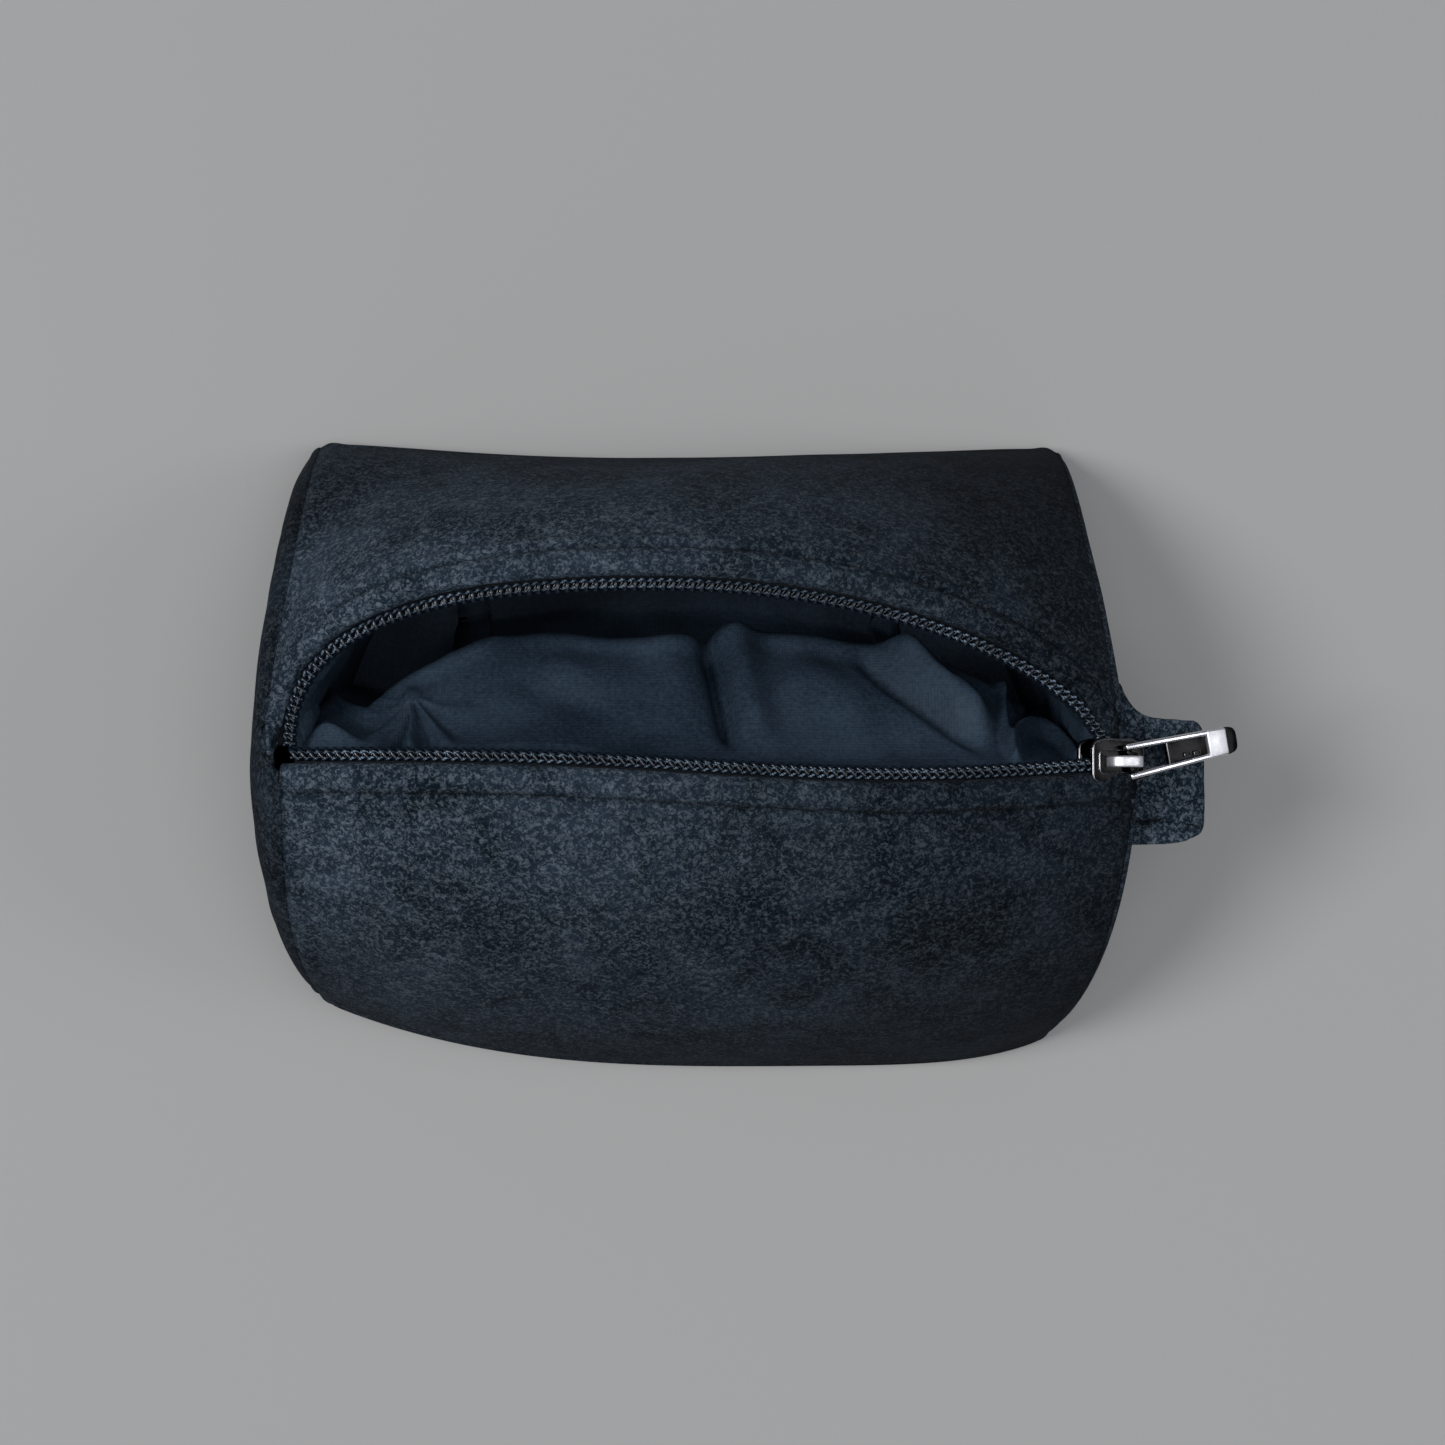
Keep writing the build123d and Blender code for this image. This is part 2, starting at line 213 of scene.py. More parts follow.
def capped(obj, ring, flip=False):
    """Close both open ends of a tube of rings with a face."""
    mesh = obj.data
    verts = [tuple(v.co) for v in mesh.vertices]
    faces = [tuple(p.vertices) for p in mesh.polygons]
    first, last = tuple(range(ring)), tuple(range(len(verts) - ring, len(verts)))
    faces += [first, last[::-1]] if flip else [first[::-1], last]
    mesh.clear_geometry()
    mesh.from_pydata(verts, [], faces)
    mesh.update()
    mesh.shade_smooth()
    return obj


def join(name, pieces):
    """Join mesh objects into one."""
    verts, faces, slots, start = [], [], [], 0
    for piece in pieces:
        verts += [tuple(piece.matrix_world @ v.co) for v in piece.data.vertices]
        faces += [tuple(start + i for i in p.vertices) for p in piece.data.polygons]
        slots += [p.material_index for p in piece.data.polygons]
        start += len(piece.data.vertices)
    mesh = bpy.data.meshes.new(name)
    mesh.from_pydata(verts, [], faces)
    mesh.polygons.foreach_set("material_index", slots)
    mesh.update()
    mesh.shade_smooth()
    for piece in pieces:
        bpy.data.objects.remove(piece)
    return link(name, mesh)


# ---------------------------------------------------------------- lines and surfaces of the bag

def arch_height(x, lift=0.0):
    return ARCH_Z + np.sqrt((ARCH_RADIUS + lift) ** 2 - np.asarray(x) ** 2)


def evenly(points, count):
    """Spread count points evenly along a line of points."""
    step = np.r_[0, np.cumsum(np.linalg.norm(np.diff(points, axis=0), axis=1))]
    at = np.linspace(0, step[-1], count)
    return np.stack([np.interp(at, step, points[:, k]) for k in range(points.shape[1])], 1)


def bezier(controls, count):
    """Points of a Bezier curve for each column: controls has the shape (degree + 1, columns, axes)."""
    degree = len(controls) - 1
    t = np.linspace(0, 1, count)[:, None, None]
    total = np.zeros((count,) + controls.shape[1:])
    for k in range(degree + 1):
        total += math.comb(degree, k) * t ** k * (1 - t) ** (degree - k) * controls[k][None]
    return total


def mouth_shape(x):
    """How open the mouth is, from 0 at its ends to 1 at its peak."""
    from_peak = np.asarray(x) - MOUTH_PEAK_X
    left = (1 - np.clip(-from_peak / MOUTH_LEFT, 0, 1) ** LEFT_END_POWER) ** (1 / LEFT_END_POWER)
    right = (1 - np.clip(from_peak / MOUTH_RIGHT, 0, 1) ** RIGHT_END_POWER) ** RIGHT_END_ROOT
    return np.where(from_peak < 0, left, right)


def front_row_y(x):
    """The front row bows forward, most of all to the right of its middle."""
    x = np.asarray(x) / MM
    start, slope, bow, bow_x, bow_width = -0.02, 0.0073, 4.04, 34, 50
    return (start + slope * x - bow * np.exp(-((x - bow_x) / bow_width) ** 2)) * MM


def front_row_line(count):
    x = np.linspace(FRONT_ROW_LEFT, FRONT_ROW_RIGHT, 400)
    return evenly(np.stack([x, front_row_y(x), arch_height(x)], 1), count)


def back_row_line(count):
    """Evenly spaced points along the middle of the open back row, left to right, and into the slider."""
    joined = ZIP_Y + COIL_SPACING
    a = np.linspace(0.012, math.pi / 2, 400)[:-1]
    left_x = MOUTH_PEAK_X - MOUTH_LEFT * np.cos(a) ** (2 / LEFT_END_POWER)
    left_y = joined + MOUTH_OPEN * np.sin(a) ** (2 / LEFT_END_POWER)
    right_x = np.linspace(MOUTH_PEAK_X, BACK_ROW_TURN_X, 600)
    right_y = joined + MOUTH_OPEN * mouth_shape(right_x)
    turn_start = [BACK_ROW_TURN_X / MM, right_y[-1] / MM]
    corners = np.array([turn_start, [66.6, 6.6], [67.6, 1.5], [71.4, 0.9]]) * MM
    turn = bezier(corners[:, None], 80)[1:, 0]
    xy = np.vstack([np.stack([left_x, left_y], 1), np.stack([right_x, right_y], 1), turn])
    return evenly(np.column_stack([xy, arch_height(xy[:, 0])]), count)


def plan_offset(line, distance):
    """Move a line sideways in plan, to the left of its direction."""
    along = directions(line[:, :2])
    shifted = line.copy()
    shifted[:, 0] -= along[:, 1] * distance
    shifted[:, 1] += along[:, 0] * distance
    return shifted


def base_edge(x, side):
    """The y of the base's front (-1) or back (+1) edge."""
    x = np.asarray(x)
    if side > 0:
        hollow, dip, dip_x, dip_width = 2.3 * MM, 1.1 * MM, -24 * MM, 34 * MM
        return BACK_EDGE - hollow * (1 - (x / HALF_LENGTH) ** 2) - dip * hill(x - dip_x, dip_width)
    deepest_x, left_round, right_round = 20 * MM, 13.8 * MM, 6.4 * MM
    from_deepest = x - deepest_x
    left = left_round * np.clip(-from_deepest / (HALF_LENGTH + deepest_x), 0, 1) ** 3
    right = right_round * np.clip(from_deepest / (HALF_LENGTH - deepest_x), 0, 1) ** 4
    return FRONT_EDGE + 0.3 * MM + left + right


# where a wall's end seams start at the base, end at the mouth and bow out between them, in mm: left, right
SEAMS = {
    -1: {"foot": (-69.4, 68.4), "top": (-70.2, 72.4), "bow": (2.2, 2.0)},
    1: {"foot": (-70.0, 70.6), "top": (-72.9, 72.2), "bow": (-0.1, -2.4)},
}


def wall_lines(side, count):
    """The base edge and the mouth edge of a wall, point by point, left to right."""
    seam = SEAMS[side]
    if side < 0:
        x = np.linspace(seam["top"][0], seam["top"][1], 400) * MM
        mouth = np.stack([x, front_row_y(x) - LIP_SETBACK, np.zeros(400)], 1)
    else:
        mouth = plan_offset(back_row_line(900), LIP_SETBACK)
        mouth = mouth[(mouth[:, 0] < 72.5 * MM) & (mouth[:, 1] > 3.0 * MM)]
        left_end = np.array([[seam["top"][0] * MM, 0.5 * MM, 0]])
        right_end = np.array([[seam["top"][1] * MM, 3.6 * MM, 0]])
        mouth = np.vstack([left_end, mouth, right_end])
    mouth[:, 2] = 0
    mouth = evenly(mouth, count)
    mouth[:, 2] = arch_height(mouth[:, 0], CLOTH_LIFT)
    x = np.linspace(seam["foot"][0], seam["foot"][1], count) * MM
    corner = 1.2 * MM * np.abs(np.linspace(-1, 1, count)) ** 24
    inset = (1.1 if side < 0 else 0.2) * MM
    foot = np.column_stack([x, base_edge(x, side) - side * (corner + inset), np.full(count, BASE_Z)])
    return foot, mouth


def wall_surface(side, columns, rows):
    """Points (rows, columns, 3) up a wall from its base edge to its mouth edge."""
    foot, mouth = wall_lines(side, columns)
    a = np.clip(np.linspace(0, math.pi / 2, rows), 1e-4, math.pi / 2 - 1e-4)[:, None]
    power = 2 / WALL_POWER
    out, up = np.cos(a) ** power, np.sin(a) ** power
    points = np.empty((rows, columns, 3))
    points[..., :2] = mouth[None, :, :2] + (foot - mouth)[None, :, :2] * out[..., None]
    points[..., 2] = foot[None, :, 2] + (mouth - foot)[None, :, 2] * up
    share = np.linspace(-1, 1, columns)[None, :]
    height = (points[..., 2] - BASE_Z) / (CROWN - BASE_Z)
    bow = np.where(share < 0, SEAMS[side]["bow"][0], SEAMS[side]["bow"][1]) * MM
    bowed = np.sign(share) * np.abs(share) ** 7 * np.sin(math.pi * np.clip(height, 0, 1) ** 1.4)
    points[..., 0] += bow * bowed
    return points


def outward(points, side):
    """Unit normals of a wall that point out of the bag."""
    n = np.cross(np.gradient(points, axis=1), np.gradient(points, axis=0))
    n /= np.maximum(np.linalg.norm(n, axis=2), 1e-12)[..., None]
    middle = n[n.shape[0] // 2, n.shape[1] // 2]
    return n if middle[1] * side > 0 else -n


def arc_lengths(points, axis):
    step = np.linalg.norm(np.diff(points, axis=axis), axis=2)
    zero = np.zeros_like(np.take(step, [0], axis=axis))
    return np.concatenate([zero, np.cumsum(step, axis=axis)], axis=axis)


# ---------------------------------------------------------------- pieces of cloth

walls = {}


def outer_wall(side):
    """A front or back outer panel: swelling between its seams, folded and stitched at the mouth."""
    name = "front_panel_cloth" if side < 0 else "back_panel_cloth"
    columns, rows = 300, 240
    points = wall_surface(side, columns, rows)
    out = outward(points, side)
    up = arc_lengths(points, 0)
    to_mouth = up[-1][None, :] - up
    across = arc_lengths(points, 1)
    to_end = np.minimum(across, across[:, -1][:, None] - across)
    x, y, z = points[..., 0], points[..., 1], points[..., 2]
    free = smooth(0, 14 * MM, to_mouth) * smooth(0, 12 * MM, up) * smooth(0, 12 * MM, to_end)
    lift = 0.9 * MM * soft_noise(x, y, z, 55 * MM, 11 + side)
    lift += 0.3 * MM * soft_noise(x, y, z, 17 * MM, 21 + side)
    lift *= free
    # turned seams at the ends and the base
    lift += 0.5 * MM * hill(to_end - 2.2 * MM, 1.8 * MM) * smooth(0, 2 * MM, to_end)
    lift -= 0.8 * MM * hill(up, 1.4 * MM)
    lift += 0.5 * MM * hill(up - 3.2 * MM, 2.2 * MM)
    # the stitched channel beside the fold, puckered between the stitches
    channel = to_mouth - STITCH_SETBACK
    pucker = 0.5 + 0.5 * np.cos(2 * math.pi * across / STITCH_PITCH)
    uneven = 1 + 0.6 * soft_noise(x, y, z, 16 * MM, 37 + side)
    lift -= (0.75 + 0.35 * pucker) * MM * hill(channel, 0.55 * MM) * np.clip(uneven, 0.3, 1.5)
    lift += 0.20 * MM * soft_noise(x, y, z, 4 * MM, 31 + side) * hill(channel - 0.6 * MM, 3.0 * MM)
    lift += 0.25 * MM * hill(to_mouth - 1.6 * MM, 0.9 * MM) + 0.3 * MM * hill(channel - 1.8 * MM, 0.9 * MM)
    # a long shallow crease that wanders below the stitches and comes and goes
    from_crease = channel - 3.1 * MM - 0.9 * MM * soft_noise(x, y, z, 60 * MM, 39)
    creased = np.clip(uneven - 0.7, 0, 1)
    lift -= 0.35 * MM * hill(from_crease, 0.9 * MM) * creased
    points = points + out * lift[..., None]
    walls[side] = {"points": points, "out": out, "to_mouth": to_mouth}
    # painted shade: darker along the stitched channel, the base and end seams and the crease, where shade
    # falls
    wander = 0.35 * MM * soft_noise(x, y, z, 12 * MM, 43 + side)
    dark = 0.85 * hill(channel + wander, 0.7 * MM) * np.clip(uneven, 0.1, 1.1)
    dark *= smooth(0.5 * MM, 3 * MM, to_end)
    dark += 0.8 * hill(up, 1.0 * MM) + 0.55 * hill(to_end, 0.7 * MM)
    dark += 0.30 * hill(from_crease, 0.6 * MM) * creased
    # the edge of the mouth rolls over into its fold
    edge, edge_out = points[-1], out[-1]
    forward = edge - points[-7]
    forward -= edge_out * np.sum(forward * edge_out, axis=1)[:, None]
    forward /= np.linalg.norm(forward, axis=1)[:, None]
    uneven_lip = 1 + 0.14 * soft_noise(edge[:, 0], edge[:, 1], edge[:, 2], 6 * MM, 41 + side)
    wobble = LIP_RADIUS * uneven_lip[:, None]
    rolled = [
        edge + (forward * math.sin(a) + edge_out * (math.cos(a) - 1)) * wobble
        for a in np.linspace(0, math.pi * 0.97, 12)[1:]
    ]
    tuck = rolled[-1] - forward * 2.6 * MM
    folded = np.concatenate([points, np.array(rolled), tuck[None]], axis=0)
    dark = np.vstack([dark, np.zeros((len(folded) - rows, columns))])
    obj = mark_painted_shade(grid_mesh(name, folded, flip=side < 0), np.clip(dark, 0, 0.9))
    return thicken(obj, CLOTH_THICKNESS)


def end_surface(end, columns, bulge, droop=0.0):
    """Points over an end panel, between the end seams of the front and back panels."""
    index = 0 if end < 0 else -1
    front, back = walls[-1]["points"][:, index], walls[1]["points"][:, index]
    u = ((1 - np.cos(np.linspace(0, math.pi, columns))) / 2)[None, :, None]
    points = front[:, None] * (1 - u) + back[:, None] * u
    across = np.clip(1 - np.abs(2 * u[..., 0] - 1) ** 2.6, 0, 1)
    height = np.clip((points[..., 2] - BASE_Z) / (front[-1, 2] - BASE_Z), 0, 1)
    upright = np.clip(1 - np.abs(2 * height ** 0.85 - 1) ** 2.8, 0, 1)
    swell = np.sqrt(across * upright)
    points[..., 0] += end * bulge * swell
    points[..., 2] -= droop * across * smooth(0.8, 1.0, height)
    return points, swell


def end_panel(end):
    name = "left_end_cloth" if end < 0 else "right_end_cloth"
    points, swell = end_surface(end, 150, (6.3 if end < 0 else 2.2) * MM, 0.4 * MM)
    x, y, z = points[..., 0], points[..., 1], points[..., 2]
    bumps = 0.9 * MM * soft_noise(x, y, z, 30 * MM, 51 + end)
    bumps += 0.3 * MM * soft_noise(x, y, z, 11 * MM, 61 + end)
    crease = 0.6 * MM * hill(z - 34 * MM - 0.06 * (y - 4 * MM), 1.5 * MM)
    points[..., 0] += end * (bumps - crease) * smooth(0.15, 0.8, swell)
    return thicken(grid_mesh(name, points, flip=end > 0), 0.8 * MM)


def base_panel():
    """The base: a flat padded panel with a soft round edge, just proud of the wall seams."""
    count = 160
    x = np.linspace(-69.8, 69.8, count) * MM
    front = np.stack([x, base_edge(x, -1) - 0.5 * MM], 1)
    back = np.stack([x, base_edge(x, 1) - 0.2 * MM], 1)[::-1]
    line = np.vstack([front, back, front[:1]])
    loop = evenly(line, 601)[:-1]
    for _ in range(14):
        loop = (np.roll(loop, 1, 0) + 2 * loop + np.roll(loop, -1, 0)) / 4
    along = np.roll(loop, -1, 0) - np.roll(loop, 1, 0)
    along /= np.linalg.norm(along, axis=1)[:, None]
    inward = np.stack([-along[:, 1], along[:, 0]], 1)
    radius = 1.2 * MM
    rings = []
    for a in np.linspace(-math.pi / 2, math.pi / 2, 9):
        ring = loop + inward * radius * (1 - math.cos(a))
        rings.append(np.column_stack([ring, np.full(len(ring), radius + radius * math.sin(a))]))
    obj = grid_mesh("base_cloth", np.array(rings), wrap=True)
    return capped(obj, len(loop), flip=True)


def stitches(side):
    """A row of separate stitches in the channel beside a folded edge, each thin at its two ends."""
    wall = walls[side]
    rows = np.argmin(np.abs(wall["to_mouth"] - STITCH_SETBACK), axis=0)
    at = np.arange(len(rows))
    line = wall["points"][rows, at] + wall["out"][rows, at] * 0.05 * MM
    for _ in range(4):
        line[1:-1] = (line[:-2] + 2 * line[1:-1] + line[2:]) / 4
    fine = evenly(line, int(line_length(line) / STITCH_STEP))
    radius = 0.2 * MM * np.sin(np.linspace(0.5, math.pi - 0.5, STITCH_POINTS))
    margin, pitch = 8, round(STITCH_PITCH / STITCH_STEP)
    starts = range(margin, len(fine) - margin - STITCH_POINTS, pitch)
    pieces = [tube_mesh("stitch", fine[k:k + STITCH_POINTS], radius, sides=6) for k in starts]
    return join("front_stitches" if side < 0 else "back_stitches", pieces)


def tab():
    """The side tab: a strip of cloth folded back on itself, its lower layer a little wider at the front."""
    profile_count, across_count = 90, 60
    inside = 70.5 * MM
    outer_x = tab_high[0] + 0.4 * MM
    middle_z = (tab_low[2] + tab_high[2]) / 2 + 1.2 * MM
    points = np.empty((profile_count, across_count, 3))
    v = np.linspace(0, 1, across_count)
    half_gap = 1.15 * MM
    for i, t in enumerate(np.linspace(-1, 1, profile_count)):
        top = 0.5 + 0.5 * math.tanh(4 * t)
        front = (tab_low[1] + 0.3 * MM) * (1 - top) + (tab_low[1] + 4.4 * MM) * top
        back = tab_high[1] - 1.9 * MM
        flare = 6.5 * MM * math.exp(-((1 - min(abs(t) * 1.15, 1.0)) * 17 * MM / (2.6 * MM)))
        y = front + (back + flare - front) * v
        corner = np.clip((tab_low[1] + 4.6 * MM - y) / (4.3 * MM), 0, 1)
        tip = outer_x - 5.0 * MM * (1 - np.sqrt(1 - np.clip(corner, 0, 0.999) ** 2))
        behind = np.clip((y - tab_high[1] + 4.6 * MM) / (2.8 * MM), 0, 1)
        tip = tip - 2.4 * MM * (1 - np.sqrt(1 - np.clip(behind, 0, 0.999) ** 2))
        reach = tip - inside
        bend = 0.16
        if abs(t) < bend:
            a = t / bend * math.pi / 2
            x = tip - half_gap + half_gap * math.cos(a)
            z = half_gap * math.sin(a)
        else:
            along = (abs(t) - bend) / (1 - bend)
            x = tip - half_gap - (reach - half_gap) * along
            z = math.copysign(half_gap, t)
        points[i, :, 0] = x
        points[i, :, 1] = y
        points[i, :, 2] = middle_z + z - 0.14 * (x - 79 * MM)
    x, y, z = points[..., 0], points[..., 1], points[..., 2]
    ripple = 0.55 * MM * soft_noise(x, y, z * 0.2, 9 * MM, 91)
    ripple += 0.35 * MM * hill(x - 82 * MM - 0.25 * (y + 3 * MM), 1.6 * MM)
    fold_line = tab_low[1] + 3.6 * MM + 0.9 * MM * np.sin((x - 74 * MM) / (4 * MM))
    creased = smooth(72 * MM, 75 * MM, x) * (1 - smooth(79.5 * MM, 82 * MM, x))
    crease = hill(y - fold_line, 0.6 * MM) * creased
    points[..., 2] += ripple - 1.5 * MM * crease
    # painted shade: darker in its crease, and where it goes into the end seam
    dark = 0.8 * crease + 0.7 * (1 - smooth(71.5 * MM, 74.5 * MM, x))
    return thicken(mark_painted_shade(grid_mesh("side_tab_cloth", points), np.clip(dark, 0, 0.9)), 0.9 * MM)


# ---------------------------------------------------------------- the lining

def ridge(x, y, start, end, width, height):
    """A ridge along a straight line in plan, fading at its ends. Sizes in mm."""
    s, e = np.array(start) * MM, np.array(end) * MM
    size = np.linalg.norm(e - s)
    d = (e - s) / size
    along = (x - s[0]) * d[0] + (y - s[1]) * d[1]
    across = -(x - s[0]) * d[1] + (y - s[1]) * d[0]
    fade = smooth(-0.15 * size, 0.2 * size, along) * (1 - smooth(0.8 * size, 1.15 * size, along))
    return height * MM * hill(across, width * MM) * fade


# where the lining's loose fold runs, in plan, in mm
FOLD_LINE = (
    (-72, 0.5), (-68, 6.5), (-64.2, 13.2), (-62.6, 10.6), (-60.8, 8.0), (-57.4, 7.4),
    (-54.8, 10.2), (-50, 14.2), (-44, 18.0), (-36, 19.9), (-23, 21.0), (-5, 20.8),
    (11, 21.8), (21, 21.6), (30, 20.0), (39, 17.6), (48, 14.0), (60, 9.5),
)


# the lining's straight folds, in mm: start and end in plan, width, and height, negative in a valley
RIDGES = (
    ((6.0, 24), (8.5, 2), 3.4, 2.6),
    ((0.8, 22), (3.8, 2), 1.7, -3.9),
    ((-5.5, 22), (-2.5, 4), 3.6, 1.3),
    ((34, 20), (49, 4), 2.3, 4.2),
    ((29, 16), (47, 1), 1.6, -2.9),
    ((-42, 19), (-14, 11), 4.0, 1.6),
    ((-34, 13), (-16, 6), 2.6, -1.1),
    ((15, 15), (29, 9), 4.2, 1.1),
    ((53.2, 13), (52.4, 0), 0.8, 2.0),
    ((53.8, 11.7), (59.2, 6.6), 0.9, -2.4),
    ((58.4, 6.2), (64.2, 10.4), 0.9, -2.4),
)


def lining_folds(x, y):
    """The loose folds seen through the open mouth, by their place in plan."""
    lift = sum(ridge(x, y, *fold) for fold in RIDGES)
    # a wrinkle that curls round beside the slider
    ring = np.hypot((x - 58.8 * MM) / 5.8, (y + 0.4 * MM) / 5.4) / MM
    lift += 2.3 * MM * hill(ring - 1, 0.15)
    # the lining stands up in a fold, and drops away behind the line of it
    line_x, line_y = zip(*FOLD_LINE)
    behind = y - (np.interp(x / MM, line_x, line_y) + 0.5 * np.sin(x / (5.3 * MM))) * MM
    lift += 4.5 * MM * hill(x + 64 * MM, 4.5 * MM) * smooth(-0.2 * MM, -2.0 * MM, behind)
    lift += 1.2 * MM * hill(behind + 1.6 * MM, 1.6 * MM)
    lift -= 15 * MM * smooth(-0.3 * MM, 3.2 * MM, behind)
    # gathers that fan out from a tuck
    dx, dy = x + 49.8 * MM, y - 8.6 * MM
    radius, angle = np.hypot(dx, dy), np.arctan2(dx, -dy)
    fan = smooth(0.3 * MM, 2.5 * MM, radius) * (1 - smooth(8 * MM, 12 * MM, radius)) * hill(angle, 1.0)
    lift += (1.15 * np.cos(angle * 9.0) + 0.5 * np.cos(angle * 17.0 + 1)) * MM * fan
    return lift + 1.6 * MM * hill(radius, 2.0 * MM)


def lining_run():
    """The front, floor and back of the lining in one run, slack and fallen in from the front wall."""
    columns, rows = 420, 300
    front = front_row_line(columns)
    back = back_row_line(columns)
    front[:, 1] += 0.9 * MM
    back = plan_offset(back, -0.9 * MM)
    for line in (front, back):
        line[:, 2] = arch_height(line[:, 0]) - 2.0 * MM
    share = np.linspace(-1, 1, columns)
    wide = np.clip((back[:, 1] - front[:, 1]) / (20 * MM), 0, 1)
    x_low = share * 68.5 * MM

    def control(y, z, drop):
        x = front[:, 0] * (1 - drop) + x_low * drop
        return np.stack([x, y, z + np.zeros(columns)], 1)

    y0, y1 = front[:, 1], back[:, 1]
    z0 = front[:, 2]
    controls = np.array([
        front,
        control(y0 + 2.0 * MM * wide, z0 - 8 * MM, 0.1),
        control(y0 + 7 * MM * wide, z0 - 16 * MM, 0.2),
        control(y0 + 19 * MM * wide, z0 - 17 * MM, 0.4),
        control(y0 + 34 * MM * wide, z0 - 24 * MM, 0.7),
        control(y0 + 46 * MM * wide, -36 * MM, 1.0),
        control(y1 + 36 * MM * wide, -22 * MM, 1.0),
        control(y1 + 34 * MM * wide, 34 * MM, 0.6),
        control(y1 + 8 * MM * wide, back[:, 2] - 5 * MM, 0.2),
        back,
    ])
    points = bezier(controls, rows)
    x, y, z = points[..., 0].copy(), points[..., 1].copy(), points[..., 2].copy()
    normal = np.cross(np.gradient(points, axis=1), np.gradient(points, axis=0))
    normal /= np.maximum(np.linalg.norm(normal, axis=2), 1e-12)[..., None]
    if normal[rows // 3, columns // 2][2] < 0:
        normal = -normal
    run = arc_lengths(points, 0)
    from_edge = np.minimum(run, run[-1][None, :] - run)
    in_front = 1 - smooth(0.5, 0.62, np.linspace(0, 1, rows))[:, None]
    lift = lining_folds(x, y) * in_front
    lift += 0.9 * MM * soft_noise(x, y, z, 30 * MM, 71) + 0.35 * MM * soft_noise(x, y, z, 11 * MM, 72)
    lift *= smooth(0, 3.5 * MM, from_edge)
    points = points + normal * lift[..., None]
    points[..., 2] = np.maximum(points[..., 2], 3.6 * MM)
    return thicken(grid_mesh("lining_body", points), LINING_THICKNESS)


def lining_end(end):
    """An end of the lining, hanging slack inside the end panel."""
    name = "lining_left_end" if end < 0 else "lining_right_end"
    points, swell = end_surface(end, 90, -1.5 * MM, 3 * MM)
    points[..., 0] -= end * 2.2 * MM
    points[..., 1] = 5 * MM + (points[..., 1] - 5 * MM) * 0.93
    points[..., 2] = 2.4 * MM + points[..., 2] * 0.93
    x, y, z = points[..., 0], points[..., 1], points[..., 2]
    loose = 1.6 * MM * soft_noise(x, y, z, 26 * MM, 81 + end)
    loose += 0.7 * MM * soft_noise(x, y, z, 10 * MM, 83 + end)
    points[..., 0] -= end * (loose + 1.0 * MM) * smooth(0.05, 0.6, swell)
    return thicken(grid_mesh(name, points, flip=end < 0), LINING_THICKNESS)


# ---------------------------------------------------------------- zipper

def row_frames(line):
    """Unit along, across (to the left in plan) and up directions at each point of a row."""
    along = directions(line)
    across = np.stack([-along[:, 1], along[:, 0], np.zeros(len(line))], 1)
    across /= np.linalg.norm(across, axis=1)[:, None]
    return along, across, np.cross(along, across)


def coil(name, line, hidden_side):
    """A flattened nylon helix; hidden_side is +1 or -1, the side that its tape lies on."""
    turns = round(line_length(line) / TURN_PITCH)
    count = turns * 20 + 1
    line = evenly(line, count)
    along, across, up = row_frames(line)
    a = np.linspace(0, 2 * math.pi * turns, count)
    c, s = np.cos(a), np.sin(a)
    wide = (np.sign(c) * np.abs(c) ** 0.8 * 0.80 - 0.20 * hidden_side) * MM
    tall = np.sign(s) * np.abs(s) ** 0.7 * 0.58 * MM
    lean = 0.42 * MM * c * hidden_side
    centres = line + across * wide[:, None] + up * tall[:, None] + along * lean[:, None]
    head = np.clip(-c * hidden_side, 0, 1) ** 3
    return tube_mesh(name, centres, (0.40 + 0.10 * head) * MM)


def coil_threads(name, line, side):
    """Two chain-stitched threads that sew a row to its tape, one bead over every turn."""
    turns = round(line_length(line) / TURN_PITCH)
    line = evenly(line, turns * 10 + 1)
    _, across, up = row_frames(line)
    phase = np.linspace(0, 2 * math.pi * turns, len(line))
    pieces = []
    for shift, lead in ((-0.55, 0.0), (0.50, 0.6)):
        wave = np.cos(phase + lead)
        sway = np.sin(phase + lead) * 0.16 * MM
        height = (0.78 + 0.30 * wave) * MM
        centres = line + across * (shift * MM * side + sway)[:, None] + up * height[:, None]
        pieces.append(tube_mesh("thread", centres, (0.15 + 0.09 * wave) * MM, sides=6))
    return join(name, pieces)


def tape(name, line, hidden_side):
    """A woven tape, from under the coil to its edge inside the panels."""
    line = evenly(line, 260)
    _, across, up = row_frames(line)
    shifts = np.linspace(-1.1, 4.4, 9) * MM * hidden_side
    points = np.array([line + across * s - up * (1.12 * MM) for s in shifts])
    return thicken(grid_mesh(name, points, flip=hidden_side > 0), 0.5 * MM)


# ---------------------------------------------------------------- slider and pull

def bevelled(obj, width):
    """Round an object's edges, with the bevels in a second material slot."""
    edge = obj.modifiers.new("bevel", "BEVEL")
    edge.width = width
    edge.segments = 3
    edge.limit_method = "ANGLE"
    edge.angle_limit = math.radians(35)
    edge.material = 1
    obj.data.materials.append(None)
    obj.data.materials.append(None)
    apply_modifiers(obj)
    obj.data.shade_smooth()
    return obj


def plate(outline, low, high, bevel=0.25):
    """A flat plate with bevelled edges over an outline of (x, y) points. Sizes in mm."""
    count = len(outline)
    verts = [(x * MM, y * MM, z * MM) for z in (low, high) for x, y in outline]
    faces = [tuple(range(count))[::-1], tuple(range(count, 2 * count))]
    faces += [(k, (k + 1) % count, count + (k + 1) % count, count + k) for k in range(count)]
    mesh = bpy.data.meshes.new("plate")
    mesh.from_pydata(verts, [], faces)
    mesh.update()
    return bevelled(link("plate", mesh), bevel * MM)


